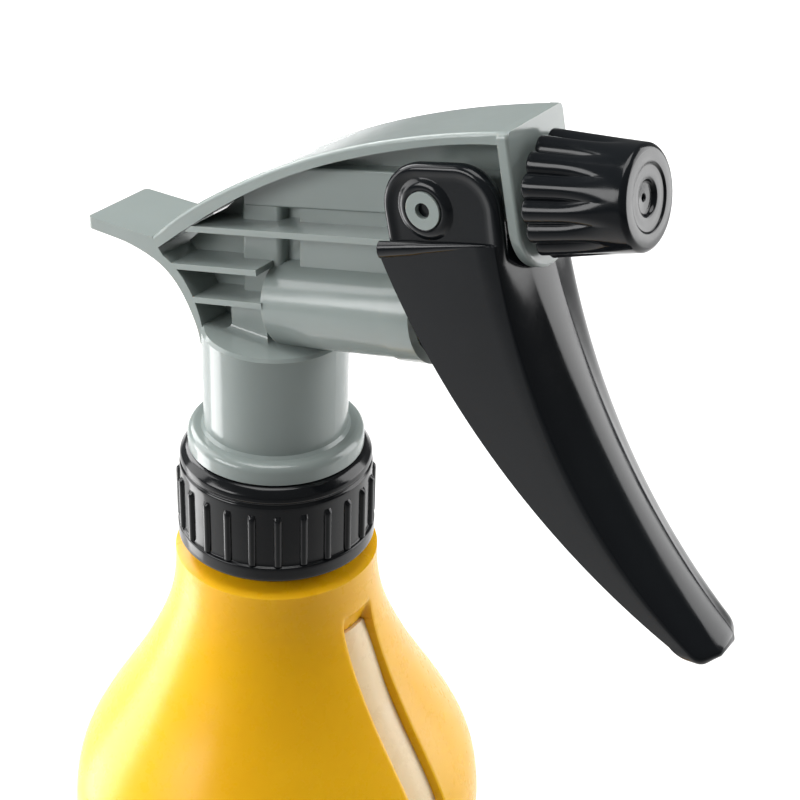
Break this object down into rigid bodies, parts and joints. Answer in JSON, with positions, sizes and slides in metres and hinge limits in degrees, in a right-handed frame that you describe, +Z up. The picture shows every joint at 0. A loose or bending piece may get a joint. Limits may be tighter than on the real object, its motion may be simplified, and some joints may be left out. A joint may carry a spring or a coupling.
{
  "type": "hand mister",
  "caption": "Hand-held trigger pump mister: round plastic bottle with a view strip, ribbed screw closure, tilted spray head, long squeeze trigger and fluted adjustable nozzle.",
  "frame": {"origin": "centre of the bottle's flat base", "axes": "+Z up along the bottle and neck axis, +X towards the nozzle and trigger, +Y to the right-hand rule, so Y is square to the plane in which the trigger swings"},
  "size_m": [0.1225, 0.076, 0.2765],
  "materials": {
    "bottle": "satin blow-moulded polyethylene, warm yellow",
    "view_strip": "translucent unpigmented polyethylene",
    "closure": "gloss black polypropylene",
    "gasket": "soft white foam rubber",
    "body": "semi-gloss grey-green polypropylene",
    "adapter": "natural polypropylene",
    "ball": "polished steel",
    "tube": "natural polyethylene tube",
    "strainer": "dark polypropylene",
    "piston": "natural white polyethylene",
    "seal": "black nitrile rubber",
    "spring": "stainless spring wire",
    "trigger": "gloss black polypropylene",
    "nozzle": "gloss black polypropylene"
  },
  "bodies": {
    "bottle": {"bottle": "bottle", "view_strip": "view_strip"},
    "head": {"sprayer_body": "body", "tube_adapter": "adapter", "neck_gasket": "gasket", "ball_cage": "adapter", "dip_tube": "tube", "strainer": "strainer", "swirl_plug": "adapter", "return_spring": "spring", "outlet_spring": "spring"},
    "closure": {"screw_cap": "closure"},
    "lever": {"trigger": "trigger"},
    "plunger": {"piston": "piston", "piston_seal_rear": "seal", "piston_seal_front": "seal"},
    "nozzle_seat": {"nozzle_gasket": "seal"},
    "nozzle": {"nozzle_cap": "nozzle"},
    "inlet_valve": {"inlet_ball": "ball"},
    "outlet_valve": {"outlet_ball": "ball"}
  },
  "joints": [
    {"name": "head_lift", "type": "slide", "parent": "bottle", "child": "head", "axis": [0, 0, 1], "range_m": [0, 0.00529]},
    {"name": "cap_turn", "type": "hinge", "parent": "head", "child": "closure", "pos_m": [0, 0, 0.2], "axis": [0, 0, 1], "range_deg": [0, 450]},
    {"name": "trigger_pull", "type": "hinge", "parent": "head", "child": "lever", "pos_m": [0.03361, 0, 0.26249], "axis": [0, 1, 0], "range_deg": [0, 25]},
    {"name": "piston_stroke", "type": "slide", "parent": "head", "child": "plunger", "axis": [-0.9763, 0, -0.2164], "range_m": [0, 0.00879], "stiffness_N_per_m": 600, "springref_m": -0.008, "deforming": ["return_spring"]},
    {"name": "nozzle_travel", "type": "slide", "parent": "head", "child": "nozzle_seat", "axis": [0.9763, 0, 0.2164], "range_m": [0, 0.00225]},
    {"name": "nozzle_turn", "type": "hinge", "parent": "nozzle_seat", "child": "nozzle", "pos_m": [0.0546, 0, 0.26715], "axis": [0.9763, 0, 0.2164], "range_deg": [0, 450]},
    {"name": "inlet_ball_lift", "type": "slide", "parent": "head", "child": "inlet_valve", "axis": [0, 0, 1], "range_m": [0, 0.0015]},
    {"name": "outlet_ball_lift", "type": "slide", "parent": "head", "child": "outlet_valve", "axis": [0.9763, 0, 0.2164], "range_m": [0, 0.0008], "stiffness_N_per_m": 40, "springref_m": -0.002, "deforming": ["outlet_spring"]}
  ],
  "couplings": [
    {"joint": "cap_turn", "follows": "head_lift", "rad_per_m": 1484.3},
    {"joint": "trigger_pull", "follows": "piston_stroke", "rad_per_m": 49.628},
    {"joint": "nozzle_turn", "follows": "nozzle_travel", "rad_per_m": 3490.7}
  ]
}
